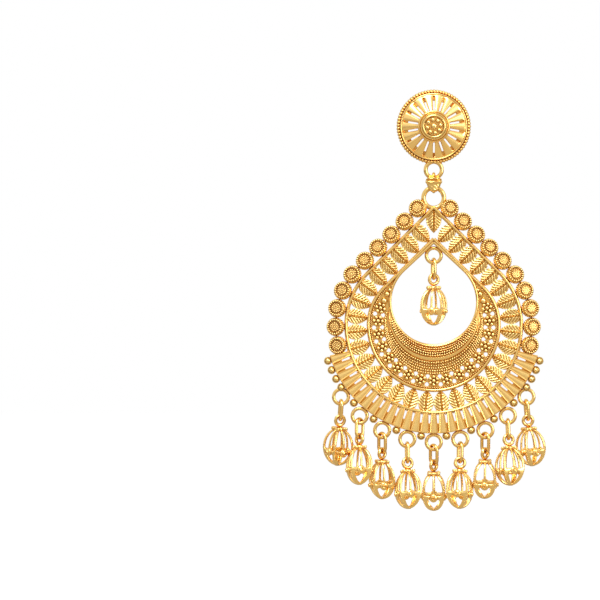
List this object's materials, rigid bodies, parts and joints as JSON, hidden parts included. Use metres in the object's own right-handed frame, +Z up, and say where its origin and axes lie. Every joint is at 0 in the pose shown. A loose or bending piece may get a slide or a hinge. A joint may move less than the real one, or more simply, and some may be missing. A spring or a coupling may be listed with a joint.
{
  "type": "jhumka earring",
  "caption": "Chandbali style jhumka earring: openwork ear stud, pierced teardrop drop with a crescent, leaf band, ray fringe and ten small cage drops.",
  "frame": {"origin": "on the post's axis, where the back of the stud's rim rests on the ear lobe", "axes": "+Y back along the post, +Z up, +X to the wearer's left as seen from the front (right in the front view); the front faces -Y"},
  "size_m": [0.0474, 0.0157, 0.0896],
  "materials": {
    "gold": "satin gold plating",
    "post_metal": "smooth gold plating"
  },
  "bodies": {
    "stud": {"ear_stud": "gold", "ear_post": "post_metal"},
    "bail": {"connector": "gold"},
    "drop": {"drop_frame": "gold", "link_1": "gold", "link_2": "gold", "link_3": "gold", "link_4": "gold", "link_5": "gold", "link_6": "gold", "link_7": "gold", "link_8": "gold", "link_9": "gold", "link_centre": "gold", "cage_1": "gold", "cage_2": "gold", "cage_3": "gold", "cage_4": "gold", "cage_5": "gold", "cage_6": "gold", "cage_7": "gold", "cage_8": "gold", "cage_9": "gold", "cage_centre": "gold"}
  },
  "joints": [
    {"name": "bail_swing", "type": "hinge", "parent": "stud", "child": "bail", "pos_m": [0, -0.0007, -0.01086], "axis": [1, 0, 0], "range_deg": [-30, 30]},
    {"name": "drop_swing", "type": "hinge", "parent": "bail", "child": "drop", "pos_m": [0, -0.0007, -0.01391], "axis": [0, 1, 0], "range_deg": [-30, 30]}
  ]
}
